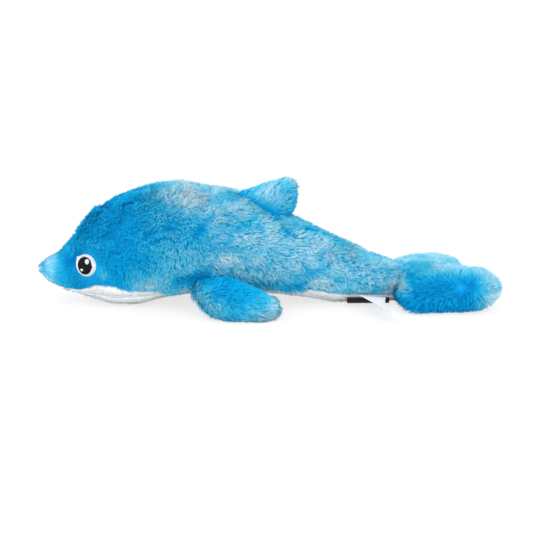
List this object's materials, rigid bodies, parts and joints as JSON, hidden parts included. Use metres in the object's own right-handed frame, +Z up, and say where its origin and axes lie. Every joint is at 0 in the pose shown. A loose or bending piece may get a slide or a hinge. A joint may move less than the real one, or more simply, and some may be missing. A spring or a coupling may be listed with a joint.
{
  "type": "plush dolphin",
  "caption": "Stuffed plush dolphin lying on its belly, with a dorsal fin, two flippers, a tail fluke, embroidered eyes and two blank sewn-in labels.",
  "frame": {"origin": "middle of the bounding box, on the surface that the toy lies on", "axes": "+X from the nose to the tail, +Z up through the dorsal fin, so -Y is the toy's left side"},
  "size_m": [0.2918, 0.1208, 0.0773],
  "materials": {
    "blue_plush": "long pile",
    "white_plush": "short pile",
    "filling": "loose fibre",
    "white_thread": "embroidery",
    "black_thread": "embroidery",
    "white_satin": "satin",
    "black_satin": "satin"
  },
  "bodies": {
    "root": {"left_side_panel": "blue_plush", "right_side_panel": "blue_plush", "left_belly_strip": "white_plush", "right_belly_strip": "white_plush", "belly_gusset": "white_plush", "body_stuffing": "filling", "dorsal_fin_left_panel": "blue_plush", "dorsal_fin_right_panel": "blue_plush", "dorsal_fin_stuffing": "filling", "left_flipper_upper_panel": "blue_plush", "left_flipper_lower_panel": "blue_plush", "left_flipper_stuffing": "filling", "right_flipper_upper_panel": "blue_plush", "right_flipper_lower_panel": "blue_plush", "right_flipper_stuffing": "filling", "fluke_upper_panel": "blue_plush", "fluke_lower_panel": "blue_plush", "fluke_stuffing": "filling", "left_eye_white": "white_thread", "left_pupil": "black_thread", "left_large_highlight": "white_thread", "left_small_highlight": "white_thread", "right_eye_white": "white_thread", "right_pupil": "black_thread", "right_large_highlight": "white_thread", "right_small_highlight": "white_thread", "black_label": "black_satin", "white_label": "white_satin"}
  },
  "joints": []
}
